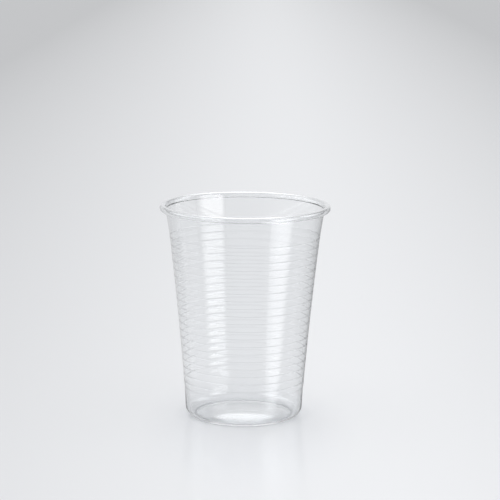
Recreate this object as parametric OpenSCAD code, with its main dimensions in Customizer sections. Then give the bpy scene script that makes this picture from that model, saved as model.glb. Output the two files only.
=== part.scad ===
// Disposable drinking cup, thermoformed from one sheet of clear plastic: a rolled rim,
// a tapered wall with fine ring grooves, a plain foot band and a shallow domed base.
// Millimetres, +Z up, with the origin on the table at the middle of the foot.

/* [Body] */
// Height from the table to the top of the rim
cup_height = 88; // [70:1:110]
// Outside diameter of the wall at its highest groove
throat_d = 61.8; // [58:0.1:64]
// Outside diameter of the wall at its lower end, on top of the foot band
shoulder_d = 49.3; // [46:0.1:56]
// How far the grooved wall bows in from a straight cone, at half its height
wall_bow = 0.3; // [0:0.05:1]

/* [Sheet] */
// Thickness of the wall, where the sheet is drawn furthest
wall_t = 0.25; // [0.2:0.05:0.4]
// Thickness of the base
base_t = 0.35; // [0.25:0.05:0.5]
// Thickness of the rolled rim
rim_t = 0.45; // [0.25:0.05:0.5]

/* [Rolled rim] */
// Outside diameter over the roll
rim_d = 70; // [68:0.2:76]
// Outside radius of the roll's section
roll_r = 1.35; // [1.1:0.05:1.6]
// Turn of the lip from straight up to its cut edge, in degrees
lip_turn = 300; // [240:10:310]

/* [Ring grooves] */
// Plain wall between the top of the rim and the first groove
plain_band = 12.9; // [8:0.1:30]
// Height from one groove to the next
groove_pitch = 3.17; // [2.5:0.01:6]
// Width of a groove at the face of the wall
groove_width = 0.6; // [0.4:0.1:1.4]
// Depth of a groove
groove_depth = 0.15; // [0.1:0.05:0.6]
// Bulge of the rib between two grooves
rib_crown = 0.02; // [0:0.02:0.3]

/* [Foot] */
// Height of the plain foot band
foot_height = 12.6; // [8:0.1:20]
// Step from the grooved wall in to the foot band
foot_step = 0.15; // [0.1:0.05:0.6]
// Height over which that step runs
foot_step_height = 0.5; // [0.3:0.1:1]
// Lean of the foot band from upright, in degrees
foot_lean = 3; // [0:0.1:6]
// Outside radius of the rounded corner under the foot band
foot_corner_r = 3.7; // [2:0.1:5]
// Width of the flat ring that the cup stands on
foot_ring_width = 0.8; // [0.4:0.1:2]

/* [Base] */
// Rise of the domed base at its middle, from the table to its underside
base_rise = 2.4; // [1:0.1:4]
// Radius of the bend between the foot ring and the dome
base_bend_r = 3; // [1:0.1:4]

/* [Hidden] */
clear_plastic = [0.87, 0.91, 0.93, 0.4];
round_sides = 144;

// Segments in each curved stretch of the section
rim_steps = 30;
corner_steps = 10;
bend_steps = 4;
dome_steps = 12;
step_steps = 4;
groove_steps = 6;
rib_steps = 4;

// Where the grooves start and how many fit above the foot band
top_groove_z = cup_height - plain_band;
groove_room = top_groove_z - foot_height - groove_pitch / 2 - groove_width / 2;
groove_count = floor(groove_room / groove_pitch) + 1;
low_groove_z = top_groove_z - (groove_count - 1) * groove_pitch;

// The middle of the roll, its radius at the hidden face of the sheet, and the lean of
// the plain band, which runs from the highest groove to meet the roll without a kink
roll_centre = [rim_d / 2 - roll_r, cup_height - roll_r];
roll_hidden_r = roll_r - rim_t;
band_to_roll = roll_centre - [throat_d / 2, top_groove_z];
band_lean = atan2(band_to_roll.x, band_to_roll.y) - asin(roll_hidden_r / norm(band_to_roll));

// The foot band's upper edge, and the middle of the rounded corner under it
foot_top = [shoulder_d / 2 - foot_step, foot_height - foot_step_height];
corner_centre = [
    foot_top.x - (foot_top.y - foot_corner_r) * tan(foot_lean) - foot_corner_r / cos(foot_lean),
    foot_corner_r
];
ring_inner_r = corner_centre.x - foot_ring_width;

// The dome's slope at its edge, and the radius of its underside, with which it leaves the
// bend without a kink and reaches its rise in the middle
dome_edge = 2 * atan2(base_rise, ring_inner_r);
dome_r = ring_inner_r / sin(dome_edge) - base_bend_r;

// A station is the sheet's outside point and its inside point. The outside face is the
// one that touches the table, and becomes the hidden inner face of the roll.
function across(point, way, t) = [point, point + t * way];

// Stations along an arc, from the one numbered first. The inside point lies nearer to the
// centre where side is -1 and further out where side is 1, and the thickness runs evenly
// from t[0] to t[1].
function arc_of(centre, r, angles, t, side, steps, first = 0) = [
    for (i = [first : steps])
        let (part = i / steps)
        let (a = angles[0] + (angles[1] - angles[0]) * part)
        let (way = [cos(a), sin(a)])
        across(centre + r * way, side * way, t[0] + (t[1] - t[0]) * part)
];

// Outside radius of the wall at height z, without its grooves and ribs
function wall_r(z) =
    let (part = min((z - foot_height) / (top_groove_z - foot_height), 1))
    let (cone = (shoulder_d + (throat_d - shoulder_d) * part) / 2)
    cone - wall_bow * 4 * part * (1 - part) + max(z - top_groove_z, 0) * tan(band_lean);

// A station of the wall at height z, moved in or out by bulge
function wall_at(z, bulge = 0) = across([wall_r(z) + bulge, z], [-1, 0], wall_t);

// The domed base, from its middle out to the foot ring
function base_stations() = concat(
    arc_of([0, base_rise - dome_r], dome_r, [90, 90 - dome_edge],
           [base_t, base_t], 1, dome_steps),
    arc_of([ring_inner_r, base_bend_r], base_bend_r, [270 - dome_edge, 270],
           [base_t, base_t], -1, bend_steps, 1)
);

// The rounded corner, the plain foot band and the small step above it
function foot_stations() = concat(
    arc_of(corner_centre, foot_corner_r,
           [-90, -foot_lean], [base_t, wall_t], -1, corner_steps),
    [
        for (i = [0 : step_steps])
            let (part = i / step_steps)
            let (out = foot_step * (1 - cos(180 * part)) / 2)
            across(foot_top + [out, foot_step_height * part], [-1, 0], wall_t)
    ]
);

// One groove, with its middle at height z
function groove_at(z) = [
    for (i = [0 : groove_steps])
        let (part = i / groove_steps - 0.5)
        wall_at(z + groove_width * part, -groove_depth * (1 + cos(360 * part)) / 2)
];

// The slightly bulging rib between heights low and high, without its two ends
function rib_between(low, high) = [
    for (i = [1 : rib_steps - 1])
        let (part = i / rib_steps)
        wall_at(low + (high - low) * part, rib_crown * 4 * part * (1 - part))
];

// The grooved wall, from the foot band up to the plain band under the rim
function grooved_stations() = [
    for (i = [0 : groove_count - 1])
        let (z = low_groove_z + i * groove_pitch)
        let (rib_low = i == 0 ? foot_height : z - groove_pitch + groove_width / 2)
        each concat(rib_between(rib_low, z - groove_width / 2), groove_at(z))
];

// The rim, rolled outwards over its top and back under towards the wall
function rim_stations() =
    arc_of(roll_centre, roll_hidden_r, [180 - band_lean, 180 - lip_turn],
           [rim_t, rim_t], 1, rim_steps);

// The closed outline of the sheet: out along its outside face and back along its inside
function sheet_outline(stations) = concat(
    [for (s = stations) s[0]],
    [for (i = [len(stations) - 1 : -1 : 0]) stations[i][1]]
);

module cup() {
    stations = concat(base_stations(), foot_stations(), grooved_stations(), rim_stations());
    color(clear_plastic)
        rotate_extrude($fn = round_sides)
            polygon(sheet_outline(stations));
}

cup();
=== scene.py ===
"""A clear thermoformed drinking cup on a pale studio table."""

from math import asin, atan2, cos, hypot, pi, radians, sin, tan

import bpy
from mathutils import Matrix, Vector

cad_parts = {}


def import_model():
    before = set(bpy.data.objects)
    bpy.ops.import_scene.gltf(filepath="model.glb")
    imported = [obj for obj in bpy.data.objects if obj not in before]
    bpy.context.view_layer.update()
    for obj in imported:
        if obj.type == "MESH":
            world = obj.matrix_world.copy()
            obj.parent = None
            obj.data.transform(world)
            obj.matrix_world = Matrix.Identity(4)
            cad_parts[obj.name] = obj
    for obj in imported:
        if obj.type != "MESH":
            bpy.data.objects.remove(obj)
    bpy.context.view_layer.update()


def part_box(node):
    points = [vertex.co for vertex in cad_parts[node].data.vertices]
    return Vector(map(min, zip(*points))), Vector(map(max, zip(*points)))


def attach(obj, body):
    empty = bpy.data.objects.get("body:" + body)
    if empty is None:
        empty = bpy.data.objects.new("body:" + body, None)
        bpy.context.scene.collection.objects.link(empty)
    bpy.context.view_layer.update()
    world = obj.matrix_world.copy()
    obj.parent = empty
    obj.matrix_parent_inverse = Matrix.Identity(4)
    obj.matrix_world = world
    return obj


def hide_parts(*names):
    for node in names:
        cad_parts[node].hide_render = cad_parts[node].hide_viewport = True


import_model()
MM = 0.001

# The cup's own sizes, in metres
CUP_LOW, CUP_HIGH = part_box("cup")
CUP_HEIGHT = CUP_HIGH.z - CUP_LOW.z
RIM_R = CUP_HIGH.x
ROLL_R = 1.35 * MM
LIP_TURN = radians(300)
RIM_T, WALL_T, BASE_T = 0.45 * MM, 0.25 * MM, 0.35 * MM
THROAT_R, SHOULDER_R = 30.9 * MM, 24.65 * MM
WALL_BOW = 0.3 * MM
PLAIN_BAND = 12.9 * MM
GROOVE_PITCH = 3.17 * MM
GROOVE_WIDTH, GROOVE_DEPTH = 0.6 * MM, 0.15 * MM
GROOVE_COUNT = 20
RIB_CROWN = 0.02 * MM
FOOT_HEIGHT = 12.6 * MM
FOOT_STEP, FOOT_STEP_HEIGHT = 0.15 * MM, 0.5 * MM
FOOT_LEAN = radians(3)
FOOT_CORNER_R = 3.7 * MM
FOOT_RING_WIDTH = 0.8 * MM
BASE_RISE = 2.4 * MM
BASE_BEND_R = 3 * MM
TOP_GROOVE = CUP_HEIGHT - PLAIN_BAND
LOW_GROOVE = TOP_GROOVE - (GROOVE_COUNT - 1) * GROOVE_PITCH

# How finely the section is followed and turned
ROUND_SIDES = 192
RIM_STEPS, CORNER_STEPS, BEND_STEPS, DOME_STEPS = 40, 16, 6, 20
GROOVE_STEPS, RIB_STEPS, STEP_STEPS = 6, 2, 6

# Stretches of the section that meet at less than the sharp edge share a normal, in which each
# counts by its length to the power of the smoothing
SHARP_EDGE, SMOOTHING = radians(50), 0.5

# The most times that a ray is followed off or through the plastic
MOST_BOUNCES = 32

# The camera, which stands in front of the cup and looks slightly down at it
CAMERA_DISTANCE, CAMERA_HEIGHT = 0.8458, 0.2248
CAMERA_LENS, SENSOR_WIDTH = 150.97, 36.0
CAMERA_PITCH, CAMERA_ROLL, CAMERA_YAW = radians(10.445), radians(0.45), radians(0.06)

# Azimuths in degrees, from the front of the cup to its right
FRONT, RIGHT, BACK = 0, 90, 180

# The plastic sheet: its colour, what its shadow keeps of the light, its index of refraction,
# and its least and most roughness
SHEET_COLOR = (0.966, 0.971, 0.974, 1)
SHEET_SHADOW = (0.84, 0.85, 0.86, 1)
SHEET_IOR, SHEET_ROUGHNESS = 1.49, (0.015, 0.045)

# The painted shade of its grooves, a darker tint that draws their lines, and where that fades, in half
# widths from the middle of a groove
GROOVE_SHADE_COLOR, GROOVE_SHADE_REACH = (0.925, 0.93, 0.935, 1), (0.4, 1.1)

# Its streaks and waves, which are drawn out upright
DRAWN_STRETCH = (1, 1, 0.15)
STREAK_SCALE, STREAK_DETAIL = 300.0, 3.0
WAVE_SCALE, WAVE_DETAIL, WAVE_HEIGHT = 90.0, 1.0, 0.006 * MM

# The table's half side and colour, its painted pool of light: a brightest band, and how it dims to the
# sides and with distance; and its finish
TABLE_HALF, TABLE_TINT = 6.0, (0.99, 1.0, 1.02)
BAND_X, BAND_SOFT, BAND_FALL = 0.035, 0.04, 1.1
BAND_LEVEL, LEAST_LEVEL, DEPTH_FALL = 0.872, 0.5, 0.047
TABLE_ROUGHNESS, TABLE_SPECULAR = 0.15, 0.5

# How far the camera, and a ray through the plastic, see the table at that level, in place of
# its shadow and gloss: less around the cup than beneath and away from it, least against the
# sides of its foot, and wholly far in front. A pair is where a change starts and is complete.
SEEN_SHARE, SEEN_GAIN = 0.7, 1.005
STAND_SHARE, STAND_Y, STAND_DEPTH, STAND_REACH = 0.2, -0.03, 2.0, (0.02, 0.05)
BENEATH_REACH = (0.008, 0.018)
HEEL_SHARE, HEEL_IN, HEEL_OUT, HEEL_SIDES = 0.35, (0.012, 0.018), (0.024, 0.03), (0.4, 0.85)
FORE_Y = (-0.09, -0.22)

# The painted reflection that the outside of the plastic mirrors of the table: pale beneath the cup,
# most of all in front, and painted shade around it, up to where the room's own level is reached
UNDER_REACH, UNDER_SIDES = (0.022, 0.027), (0.7, 0.85)
UNDER_LEVEL, UNDER_SIDE_LEVEL = 1.0, 0.55
SHADE_REACH = (0.02, 0.08)

# The key panel: how it stands from the cup, its width and height, its radiance, where 1 looks
# white, and how far it fades at its edges, most of all at its far end
KEY_AZIMUTH, KEY_ELEVATION, KEY_DISTANCE = 56, 3, 0.55
KEY_SIZE, KEY_RADIANCE = (0.53, 0.44), 3.0
KEY_EDGE, KEY_FAR_EDGE = 0.1, 0.2

# The panel's painted sheen on the table: two lobes, each a level, an azimuth and the angles to it at
# which the lobe ends and is full. The azimuths are taken from a place beside the foot. Rays
# through the plastic see it only once they have been mirrored, with a gain that grows from
# near to far.
WIDE_SHEEN, CORE_SHEEN = (1.35, 57, 22, 14), (0.6, 58, 15, 4)
SHEEN_FROM, SHEEN_REACH = (0.0124, -0.0228, 0), (0.03, 0.05)
NEAR_GAIN, FAR_GAIN, FAR_REACH = 1.35, 2.5, (0.18, 0.28)

# The room behind the table, and what rays that the plastic bends upwards see. From here on a
# pair is of cosines to an azimuth or, for a height, of the upward part of a direction.
PALE_LEVEL, UPWARD_LEVEL, UPWARD_EDGE = 0.82, 0.15, (0.12, 0.35)

# Its sides, as the plastic mirrors them
FRONT_LEVEL, BACK_LEVEL, BACK_EDGE = 0.14, 0.82, (0.9, 0.985)
LEFT_LEVEL, LEFT_AZIMUTH, LEFT_EDGE = 0.64, -110, (0.0, 0.7)
RIGHT_LEVEL, RIGHT_AZIMUTH, RIGHT_EDGE = 0.1, 125, (0.2, 0.8)

# Its overhead light, as it lights the table and as the plastic mirrors it
SOFT_LEVEL, OVERHEAD_LEVEL, OVERHEAD_EDGE = 1.5, 0.85, (0.62, 0.85)

# Its light high behind the cup, as it is mirrored and as it is seen through the plastic
BACK_LIGHT_MIRRORED, BACK_LIGHT_THROUGH = 1.5, 2.5
BACK_LIGHT_LOW, BACK_LIGHT_HIGH, BACK_LIGHT_SIDES = (0.42, 0.5), (0.68, 0.76), (0.978, 0.994)

# Its hoop of light, dimmer in front, and broken behind the cup and around the key panel
HOOP_SIDE_LEVEL, HOOP_FRONT_LEVEL, HOOP_AHEAD = 3.0, 0.9, (0.5, 0.95)
HOOP_LOW, HOOP_HIGH = (0.17, 0.3), (0.62, 0.75)
HOOP_BACK, HOOP_KEY = (0.2, 0.8), (0.75, 0.9)


def across(point, way, t):
    """The sheet's outside point and its inside point, a thickness away."""
    return point, (point[0] + t * way[0], point[1] + t * way[1])


def arc(centre, r, angles, t, side, steps):
    """Stations along an arc, whose inside point lies nearer to its centre where side is -1."""
    made = []
    for i in range(steps + 1):
        part = i / steps
        a = angles[0] + (angles[1] - angles[0]) * part
        way = (cos(a), sin(a))
        point = (centre[0] + r * way[0], centre[1] + r * way[1])
        made.append(across(point, (side * way[0], side * way[1]), t[0] + (t[1] - t[0]) * part))
    return made


def section():
    """Stations of the sheet from the middle of its base to the cut edge of its rolled lip."""
    roll_centre = (RIM_R - ROLL_R, CUP_HEIGHT - ROLL_R)
    roll_hidden_r = ROLL_R - RIM_T
    run = (roll_centre[0] - THROAT_R, roll_centre[1] - TOP_GROOVE)
    band_lean = atan2(run[0], run[1]) - asin(roll_hidden_r / hypot(*run))
    foot_top = (SHOULDER_R - FOOT_STEP, FOOT_HEIGHT - FOOT_STEP_HEIGHT)
    corner_x = foot_top[0] - (foot_top[1] - FOOT_CORNER_R) * tan(FOOT_LEAN)
    corner_centre = (corner_x - FOOT_CORNER_R / cos(FOOT_LEAN), FOOT_CORNER_R)
    ring_inner_r = corner_centre[0] - FOOT_RING_WIDTH
    dome_edge = 2 * atan2(BASE_RISE, ring_inner_r)
    dome_r = ring_inner_r / sin(dome_edge) - BASE_BEND_R

    def wall_at(z, bulge=0.0):
        part = min((z - FOOT_HEIGHT) / (TOP_GROOVE - FOOT_HEIGHT), 1)
        r = SHOULDER_R + (THROAT_R - SHOULDER_R) * part - WALL_BOW * 4 * part * (1 - part)
        r += max(z - TOP_GROOVE, 0) * tan(band_lean) + bulge
        return across((r, z), (-1, 0), WALL_T)

    def rib(low, high):
        parts = [i / RIB_STEPS for i in range(1, RIB_STEPS)]
        return [wall_at(low + (high - low) * p, RIB_CROWN * 4 * p * (1 - p)) for p in parts]

    def groove(z):
        parts = [i / GROOVE_STEPS - 0.5 for i in range(GROOVE_STEPS + 1)]
        return [
            wall_at(z + GROOVE_WIDTH * p, -GROOVE_DEPTH * (1 + cos(2 * pi * p)) / 2)
            for p in parts
        ]

    dome, dome_centre = (pi / 2, pi / 2 - dome_edge), (0, BASE_RISE - dome_r)
    stations = arc(dome_centre, dome_r, dome, (BASE_T, BASE_T), 1, DOME_STEPS)
    bend, bend_centre = (-pi / 2 - dome_edge, -pi / 2), (ring_inner_r, BASE_BEND_R)
    stations += arc(bend_centre, BASE_BEND_R, bend, (BASE_T, BASE_T), -1, BEND_STEPS)[1:]
    corner = (-pi / 2, -FOOT_LEAN)
    stations += arc(corner_centre, FOOT_CORNER_R, corner, (BASE_T, WALL_T), -1, CORNER_STEPS)
    for i in range(STEP_STEPS + 1):
        part = i / STEP_STEPS
        out = FOOT_STEP * (1 - cos(pi * part)) / 2
        point = (foot_top[0] + out, foot_top[1] + FOOT_STEP_HEIGHT * part)
        stations.append(across(point, (-1, 0), WALL_T))
    rib_low = FOOT_HEIGHT
    for i in range(GROOVE_COUNT):
        z = LOW_GROOVE + i * GROOVE_PITCH
        stations += rib(rib_low, z - GROOVE_WIDTH / 2) + groove(z)
        rib_low = z + GROOVE_WIDTH / 2
    roll = (pi - band_lean, pi - LIP_TURN)
    stations += arc(roll_centre, roll_hidden_r, roll, (RIM_T, RIM_T), 1, RIM_STEPS)
    return stations


def end_normals(outline):
    """The outward normals at both ends of each stretch, shared with the next except at a corner."""
    runs = [Vector((b[0] - a[0], b[1] - a[1])) for a, b in zip(outline, outline[1:])]
    own = [Vector((run.y, -run.x)).normalized() * run.length**SMOOTHING for run in runs]
    ends = [[normal.normalized(), normal.normalized()] for normal in own]
    ends[0][0], ends[-1][1] = Vector((0, -1)), Vector((0, 1))
    for i in range(len(own) - 1):
        if own[i].angle(own[i + 1]) < SHARP_EDGE:
            ends[i][1] = ends[i + 1][0] = (own[i] + own[i + 1]).normalized()
    return ends


def leaning(normal, turn):
    """A normal of the section, turned with it."""
    return normal.x * turn[0], normal.x * turn[1], normal.y


def turned(name, outline):
    """An outline of (radius, height) points, turned about the Z axis, on which both its ends lie."""
    ring_points = outline[1:-1]
    ends = end_normals(outline)
    angles = [2 * pi * side / ROUND_SIDES for side in range(ROUND_SIDES)]
    turns = [(cos(angle), sin(angle)) for angle in angles]
    verts = [(0, 0, outline[0][1]), (0, 0, outline[-1][1])]
    for x, y in turns:
        verts += [(r * x, r * y, z) for r, z in ring_points]
    count = len(ring_points)
    faces, normals = [], []
    for side in range(ROUND_SIDES):
        here = 2 + side * count
        there = 2 + (side + 1) % ROUND_SIDES * count
        now, then = turns[side], turns[(side + 1) % ROUND_SIDES]
        faces.append((0, there, here))
        normals += [(0, 0, -1), leaning(ends[0][1], then), leaning(ends[0][1], now)]
        faces.append((1, here + count - 1, there + count - 1))
        normals += [(0, 0, 1), leaning(ends[-1][0], now), leaning(ends[-1][0], then)]
        for i in range(count - 1):
            faces.append((here + i, there + i, there + i + 1, here + i + 1))
            low, high = ends[i + 1]
            normals += [leaning(low, now), leaning(low, then), leaning(high, then), leaning(high, now)]
    mesh = bpy.data.meshes.new(name)
    mesh.from_pydata(verts, [], faces)
    mesh.shade_smooth()
    mesh.normals_split_custom_set(normals)
    obj = bpy.data.objects.new(name, mesh)
    bpy.context.scene.collection.objects.link(obj)
    return obj


def add(tree, kind, **sockets):
    """A new node of this kind, whose named input sockets are set to these numbers or colours."""
    node = tree.nodes.new(kind)
    for name, value in sockets.items():
        node.inputs[name.replace("_", " ")].default_value = value
    return node


def math(tree, operation, *values, clamp=False):
    """The output of a Math node, whose inputs are other outputs or plain numbers."""
    node = tree.nodes.new("ShaderNodeMath")
    node.operation, node.use_clamp = operation, clamp
    for socket, value in zip(node.inputs, values):
        if isinstance(value, (int, float)):
            socket.default_value = value
        else:
            tree.links.new(value, socket)
    return node.outputs[0]


def vector(tree, operation, *values):
    """A Vector Math node, whose inputs are other outputs or plain vectors."""
    node = tree.nodes.new("ShaderNodeVectorMath")
    node.operation = operation
    for socket, value in zip(node.inputs, values):
        if isinstance(value, tuple):
            socket.default_value = value
        else:
            tree.links.new(value, socket)
    return node.outputs


def inverse(tree, value):
    """1 less a value."""
    return math(tree, "SUBTRACT", 1.0, value)


def between(tree, value, at_0, at_1):
    """One number where a value is 0, another where it is 1, and evenly between them."""
    return math(tree, "MULTIPLY_ADD", value, at_1 - at_0, at_0)


def ramp(tree, value, low, high):
    """0 up to low, 1 from high, and smooth between them."""
    node = add(tree, "ShaderNodeMapRange", From_Min=low, From_Max=high)
    node.interpolation_type = "SMOOTHSTEP"
    tree.links.new(value, node.inputs["Value"])
    return node.outputs["Result"]


def window(tree, value, rise, fall):
    """0, then 1 past the first pair, and 0 again past the second."""
    return math(tree, "SUBTRACT", ramp(tree, value, *rise), ramp(tree, value, *fall))


def split(tree, value):
    """A vector's X, Y and Z."""
    node = tree.nodes.new("ShaderNodeSeparateXYZ")
    tree.links.new(value, node.inputs[0])
    return node.outputs


def facing(tree, way, azimuth):
    """The cosine between a direction, made level, and an azimuth."""
    level = vector(tree, "MULTIPLY", way, (1, 1, 0))["Vector"]
    unit = vector(tree, "NORMALIZE", level)["Vector"]
    towards = (sin(radians(azimuth)), -cos(radians(azimuth)), 0)
    return vector(tree, "DOT_PRODUCT", unit, towards)["Value"]


def tinted(tree, level):
    """The pale colour of the table and the room, times a level."""
    node = tree.nodes.new("ShaderNodeVectorMath")
    node.operation = "SCALE"
    node.inputs[0].default_value = TABLE_TINT
    tree.links.new(level, node.inputs["Scale"])
    return node.outputs[0]


def emission(tree, color):
    """A shader that shows a colour as it is."""
    node = tree.nodes.new("ShaderNodeEmission")
    tree.links.new(color, node.inputs["Color"])
    return node.outputs[0]


def mixed(tree, share, first, second):
    """Two shaders mixed, with this share of the second."""
    node = tree.nodes.new("ShaderNodeMixShader")
    for socket, value in zip(node.inputs, (share, first, second)):
        tree.links.new(value, socket)
    return node.outputs[0]


def material(name):
    """A new node material, and its tree."""
    mat = bpy.data.materials.new(name)
    mat.use_nodes = True
    return mat, mat.node_tree


def groove_shade_mask(tree, height):
    """Where the grooves' painted shade goes: 1 in the middle of each groove of the wall, and 0 on the
    ribs and the plain bands.
    """
    along = math(tree, "SUBTRACT", height, LOW_GROOVE - GROOVE_PITCH / 2)
    off = math(tree, "FLOORED_MODULO", along, GROOVE_PITCH)
    off = math(tree, "ABSOLUTE", math(tree, "SUBTRACT", off, GROOVE_PITCH / 2))
    off = math(tree, "DIVIDE", off, GROOVE_WIDTH / 2)
    groove = inverse(tree, ramp(tree, off, *GROOVE_SHADE_REACH))
    groove = math(tree, "MULTIPLY", groove, math(tree, "GREATER_THAN", along, 0.0))
    below_band = math(tree, "LESS_THAN", height, TOP_GROOVE + GROOVE_WIDTH)
    return math(tree, "MULTIPLY", groove, below_band)


def clear_plastic():
    """Clear sheet, greyer in its grooves by painted shade, with the streaky haze and soft waves of
    drawn film.
    """
    mat, tree = material("clear_plastic")
    links = tree.links
    tree.nodes.clear()
    glass = add(tree, "ShaderNodeBsdfPrincipled", Transmission_Weight=1.0, IOR=SHEET_IOR)
    spot = tree.nodes.new("ShaderNodeTexCoord").outputs["Object"]
    # Painted shade: the grooves take a darker tint than the rest of the sheet
    tint = tree.nodes.new("ShaderNodeMix")
    tint.data_type = "RGBA"
    share, plain, shaded_groove = tint.inputs[0], tint.inputs[6], tint.inputs[7]
    plain.default_value, shaded_groove.default_value = SHEET_COLOR, GROOVE_SHADE_COLOR
    links.new(groove_shade_mask(tree, split(tree, spot)["Z"]), share)
    links.new(tint.outputs[2], glass.inputs["Base Color"])

    drawn = vector(tree, "MULTIPLY", spot, DRAWN_STRETCH)["Vector"]
    streaks = add(tree, "ShaderNodeTexNoise", Scale=STREAK_SCALE, Detail=STREAK_DETAIL)
    least, most = SHEET_ROUGHNESS
    haze = add(tree, "ShaderNodeMapRange", To_Min=least, To_Max=most)
    waves = add(tree, "ShaderNodeTexNoise", Scale=WAVE_SCALE, Detail=WAVE_DETAIL)
    bump = add(tree, "ShaderNodeBump", Distance=WAVE_HEIGHT, Strength=1.0)
    links.new(drawn, streaks.inputs["Vector"])
    links.new(streaks.outputs[0], haze.inputs["Value"])
    links.new(haze.outputs["Result"], glass.inputs["Roughness"])
    links.new(drawn, waves.inputs["Vector"])
    links.new(waves.outputs[0], bump.inputs["Height"])
    links.new(bump.outputs[0], glass.inputs["Normal"])

    clear = add(tree, "ShaderNodeBsdfTransparent", Color=SHEET_SHADOW)
    shadow_ray = tree.nodes.new("ShaderNodeLightPath").outputs["Is Shadow Ray"]
    out = tree.nodes.new("ShaderNodeOutputMaterial")
    sheet = mixed(tree, shadow_ray, glass.outputs[0], clear.outputs[0])
    links.new(sheet, out.inputs["Surface"])
    return mat


def surroundings(tree, way):
    """How bright the room mirrors: pale behind the cup, dim in front, darkest to the right."""
    back = ramp(tree, facing(tree, way, BACK), *BACK_EDGE)
    left = ramp(tree, facing(tree, way, LEFT_AZIMUTH), *LEFT_EDGE)
    right = ramp(tree, facing(tree, way, RIGHT_AZIMUTH), *RIGHT_EDGE)
    level = between(tree, left, FRONT_LEVEL, LEFT_LEVEL)
    level = math(tree, "MULTIPLY_ADD", right, RIGHT_LEVEL - FRONT_LEVEL, level)
    return math(tree, "MAXIMUM", level, math(tree, "MULTIPLY", back, BACK_LEVEL))


def painted_table_light(tree, place):
    """The table's painted light: brightest in a band behind the cup, and less with distance."""
    off = math(tree, "SUBTRACT", place["X"], BAND_X)
    off = math(tree, "SQRT", math(tree, "MULTIPLY_ADD", off, off, BAND_SOFT**2))
    off = math(tree, "SUBTRACT", off, BAND_SOFT)
    level = math(tree, "MULTIPLY_ADD", off, -BAND_FALL, BAND_LEVEL)
    level = math(tree, "MULTIPLY_ADD", place["Y"], -DEPTH_FALL, level)
    return math(tree, "MINIMUM", math(tree, "MAXIMUM", level, LEAST_LEVEL), BAND_LEVEL)


def sheen(tree, way, lobe):
    """A lobe of painted sheen around one azimuth, level in its middle."""
    level, azimuth, none, full = lobe
    full_share = ramp(tree, facing(tree, way, azimuth), cos(radians(none)), cos(radians(full)))
    return math(tree, "MULTIPLY", full_share, level)


def painted_table_sheen(tree, spot, reach):
    """The key panel's painted sheen on the table, beside the cup."""
    from_wall = vector(tree, "SUBTRACT", spot, SHEEN_FROM)["Vector"]
    wide, core = (sheen(tree, from_wall, lobe) for lobe in (WIDE_SHEEN, CORE_SHEEN))
    return math(tree, "MULTIPLY", math(tree, "ADD", wide, core), ramp(tree, reach, *SHEEN_REACH))


def seen_share(tree, spot, place, reach):
    """How much of the table's look is its plain level, in place of its shadow and gloss."""
    stretch, shift = (1, 1 / STAND_DEPTH, 0), (0, -STAND_Y / STAND_DEPTH, 0)
    away = vector(tree, "MULTIPLY_ADD", spot, stretch, shift)["Vector"]
    away = vector(tree, "LENGTH", away)["Value"]
    beneath = inverse(tree, ramp(tree, reach, *BENEATH_REACH))
    open_table = math(tree, "MAXIMUM", ramp(tree, away, *STAND_REACH), beneath)
    share = between(tree, open_table, SEEN_SHARE * STAND_SHARE, SEEN_SHARE)
    sideways = math(tree, "ABSOLUTE", facing(tree, spot, RIGHT))
    heel = window(tree, reach, HEEL_IN, HEEL_OUT)
    heel = math(tree, "MULTIPLY", heel, ramp(tree, sideways, *HEEL_SIDES))
    share = math(tree, "MULTIPLY", share, between(tree, heel, 1.0, HEEL_SHARE))
    return math(tree, "MAXIMUM", share, ramp(tree, place["Y"], *FORE_Y))


def painted_table_reflection(tree, spot, reach, glare):
    """The painted reflection that the outside of the plastic mirrors of the table, with painted shade
    around the cup.
    """
    ahead = ramp(tree, facing(tree, spot, FRONT), *UNDER_SIDES)
    under = inverse(tree, ramp(tree, reach, *UNDER_REACH))
    under = math(tree, "MULTIPLY", under, between(tree, ahead, UNDER_SIDE_LEVEL, UNDER_LEVEL))
    shade = ramp(tree, reach, *SHADE_REACH)
    around = math(tree, "MULTIPLY_ADD", surroundings(tree, spot), shade, glare)
    return math(tree, "MAXIMUM", under, around)


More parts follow.
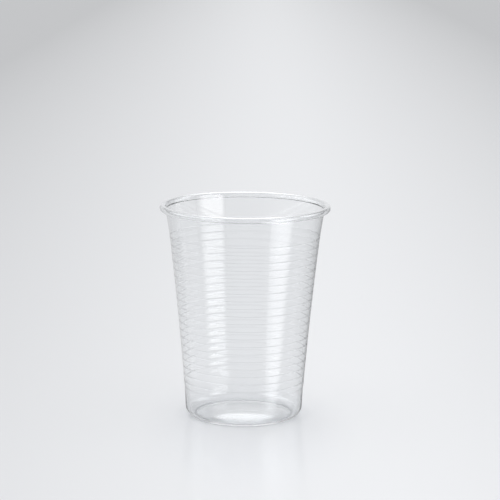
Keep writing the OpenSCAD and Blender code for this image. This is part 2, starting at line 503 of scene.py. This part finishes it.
def pale_table():
    """White satin laminate with painted light, brightest in a band behind the cup, and a painted
    sheen, reflection and shade.
    """
    mat, tree = material("pale_table")
    surface, out = tree.nodes["Principled BSDF"], tree.nodes["Material Output"]
    spot = tree.nodes.new("ShaderNodeTexCoord").outputs["Object"]
    place = split(tree, spot)
    reach = vector(tree, "LENGTH", spot)["Value"]
    level = painted_table_light(tree, place)
    # Painted light: the table's colour is brightest in a band behind the cup and dims with distance
    tree.links.new(tinted(tree, level), surface.inputs["Base Color"])
    surface.inputs["Roughness"].default_value = TABLE_ROUGHNESS
    surface.inputs["Specular IOR Level"].default_value = TABLE_SPECULAR

    path = tree.nodes.new("ShaderNodeLightPath").outputs
    passing = math(tree, "MAXIMUM", path["Is Camera Ray"], path["Is Transmission Ray"])
    # Painted sheen: the key panel's glare on the table, emitted by the table itself
    glare = painted_table_sheen(tree, spot, reach)
    mirrored_once = math(tree, "MINIMUM", path["Glossy Depth"], 1.0)
    gain = between(tree, ramp(tree, reach, *FAR_REACH), NEAR_GAIN, FAR_GAIN)
    far_sheen = math(tree, "MULTIPLY", math(tree, "MULTIPLY", glare, mirrored_once), gain)
    pale = math(tree, "MULTIPLY_ADD", level, SEEN_GAIN, far_sheen)
    seen = emission(tree, tinted(tree, pale))
    share = math(tree, "MULTIPLY", passing, seen_share(tree, spot, place, reach))
    plain = mixed(tree, share, surface.outputs[0], seen)
    # Painted reflection and painted shade: what rays mirrored off the plastic see of the table
    mirrored = emission(tree, tinted(tree, painted_table_reflection(tree, spot, reach, glare)))
    bounced = math(tree, "MULTIPLY", path["Is Glossy Ray"], inverse(tree, passing))
    tree.links.new(mixed(tree, bounced, plain, mirrored), out.inputs["Surface"])
    return mat


def stage():
    """A pale table that reaches far beyond the picture."""
    half = TABLE_HALF
    corners = [(-half, -half, 0), (half, -half, 0), (half, half, 0), (-half, half, 0)]
    mesh = bpy.data.meshes.new("table")
    mesh.from_pydata(corners, [], [(0, 1, 2, 3)])
    mesh.materials.append(pale_table())
    obj = bpy.data.objects.new("table", mesh)
    bpy.context.scene.collection.objects.link(obj)


def glow():
    """The key panel's light: on one side of it, and not for rays straight through the plastic."""
    mat, tree = material("key")
    tree.nodes.clear()
    w, h = KEY_SIZE[0] / 2, KEY_SIZE[1] / 2
    place = split(tree, tree.nodes.new("ShaderNodeTexCoord").outputs["Object"])
    level = inverse(tree, tree.nodes.new("ShaderNodeNewGeometry").outputs["Backfacing"])
    path = tree.nodes.new("ShaderNodeLightPath").outputs
    straight = (path["Is Transmission Ray"], path["Glossy Depth"])
    straight = math(tree, "SUBTRACT", *straight, clamp=True)
    level = math(tree, "MULTIPLY", level, inverse(tree, straight))
    level = math(tree, "MULTIPLY", level, KEY_RADIANCE)
    inside = math(tree, "SUBTRACT", h, math(tree, "ABSOLUTE", place["Y"]))
    for edge in (
        ramp(tree, inside, 0.0, KEY_EDGE),
        ramp(tree, place["X"], -w, -w + KEY_EDGE),
        ramp(tree, place["X"], w, w - KEY_FAR_EDGE),
    ):
        level = math(tree, "MULTIPLY", level, edge)
    shader = tree.nodes.new("ShaderNodeEmission")
    tree.links.new(level, shader.inputs["Strength"])
    out = tree.nodes.new("ShaderNodeOutputMaterial")
    tree.links.new(shader.outputs[0], out.inputs["Surface"])
    return mat


def key_panel():
    """A soft panel that faces the cup from the front right."""
    w, h = KEY_SIZE[0] / 2, KEY_SIZE[1] / 2
    mesh = bpy.data.meshes.new("key")
    mesh.from_pydata([(-w, -h, 0), (w, -h, 0), (w, h, 0), (-w, h, 0)], [], [(3, 2, 1, 0)])
    mesh.materials.append(glow())
    lamp = bpy.data.objects.new("key", mesh)
    a, e = radians(KEY_AZIMUTH), radians(KEY_ELEVATION)
    back = Vector((sin(a) * cos(e), -cos(a) * cos(e), sin(e)))
    lamp.location = Vector((0, 0, CUP_HEIGHT / 2)) + back * KEY_DISTANCE
    lamp.rotation_euler = back.to_track_quat("Z", "Y").to_euler()
    lamp.visible_camera = lamp.visible_shadow = False
    bpy.context.scene.collection.objects.link(lamp)


def hoop_light(tree, way, up):
    """A broad hoop of light around the room."""
    hoop = window(tree, up, HOOP_LOW, HOOP_HIGH)
    behind = ramp(tree, facing(tree, way, BACK), *HOOP_BACK)
    hoop = math(tree, "MULTIPLY", hoop, inverse(tree, behind))
    at_key = ramp(tree, facing(tree, way, KEY_AZIMUTH), *HOOP_KEY)
    hoop = math(tree, "MULTIPLY", hoop, inverse(tree, at_key))
    ahead = ramp(tree, facing(tree, way, FRONT), *HOOP_AHEAD)
    return math(tree, "MULTIPLY", hoop, between(tree, ahead, HOOP_SIDE_LEVEL, HOOP_FRONT_LEVEL))


def back_light(tree, way, up, through):
    """A small light high behind the cup, which its base and rim catch."""
    behind = window(tree, up, BACK_LIGHT_LOW, BACK_LIGHT_HIGH)
    sides = ramp(tree, facing(tree, way, BACK), *BACK_LIGHT_SIDES)
    behind = math(tree, "MULTIPLY", behind, sides)
    level = between(tree, through, BACK_LIGHT_MIRRORED, BACK_LIGHT_THROUGH)
    return math(tree, "MULTIPLY", behind, level)


def world():
    """A pale room, whose lights and dim sides show only where the plastic mirrors or bends them."""
    made = bpy.data.worlds.new("studio")
    made.use_nodes = True
    tree = made.node_tree
    way = tree.nodes.new("ShaderNodeTexCoord").outputs["Generated"]
    up = split(tree, way)["Z"]
    path = tree.nodes.new("ShaderNodeLightPath").outputs
    through, diffuse = path["Is Transmission Ray"], path["Is Diffuse Ray"]
    passing = math(tree, "MAXIMUM", path["Is Camera Ray"], through)
    bent_up = math(tree, "MULTIPLY", through, ramp(tree, up, *UPWARD_EDGE))
    pale = math(tree, "MULTIPLY", passing, between(tree, bent_up, PALE_LEVEL, UPWARD_LEVEL))

    overhead = ramp(tree, up, *OVERHEAD_EDGE)
    back, hoop = back_light(tree, way, up, through), hoop_light(tree, way, up)
    lights = math(tree, "MAXIMUM", back, hoop)
    lights = math(tree, "MAXIMUM", lights, math(tree, "MULTIPLY", overhead, OVERHEAD_LEVEL))
    by_plastic = math(tree, "SUBTRACT", inverse(tree, path["Is Camera Ray"]), diffuse)
    lights = math(tree, "MULTIPLY", lights, by_plastic)
    soft = math(tree, "MULTIPLY", math(tree, "MULTIPLY", overhead, diffuse), SOFT_LEVEL)
    lights = math(tree, "MAXIMUM", lights, soft)
    level = math(tree, "MAXIMUM", surroundings(tree, way), pale)
    level = math(tree, "MAXIMUM", level, lights)
    tree.links.new(tinted(tree, level), tree.nodes["Background"].inputs["Color"])
    bpy.context.scene.world = made


def camera():
    """The camera, at the photograph's angle."""
    data = bpy.data.cameras.new("camera")
    data.lens, data.sensor_width = CAMERA_LENS, SENSOR_WIDTH
    obj = bpy.data.objects.new("camera", data)
    obj.location = (0, -CAMERA_DISTANCE, CAMERA_HEIGHT)
    obj.rotation_euler = (pi / 2 - CAMERA_PITCH, -CAMERA_ROLL, -CAMERA_YAW)
    bpy.context.scene.collection.objects.link(obj)
    bpy.context.scene.camera = obj


camera()
world()
key_panel()
stage()

stations = section()
cup = turned("clear_cup", [s[0] for s in stations] + [s[1] for s in reversed(stations)])
cup.data.materials.append(clear_plastic())
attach(cup, "root")
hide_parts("cup")

scene = bpy.context.scene
scene.view_settings.view_transform = "Standard"
scene.cycles.max_bounces = scene.cycles.transmission_bounces = MOST_BOUNCES
scene.cycles.glossy_bounces = MOST_BOUNCES
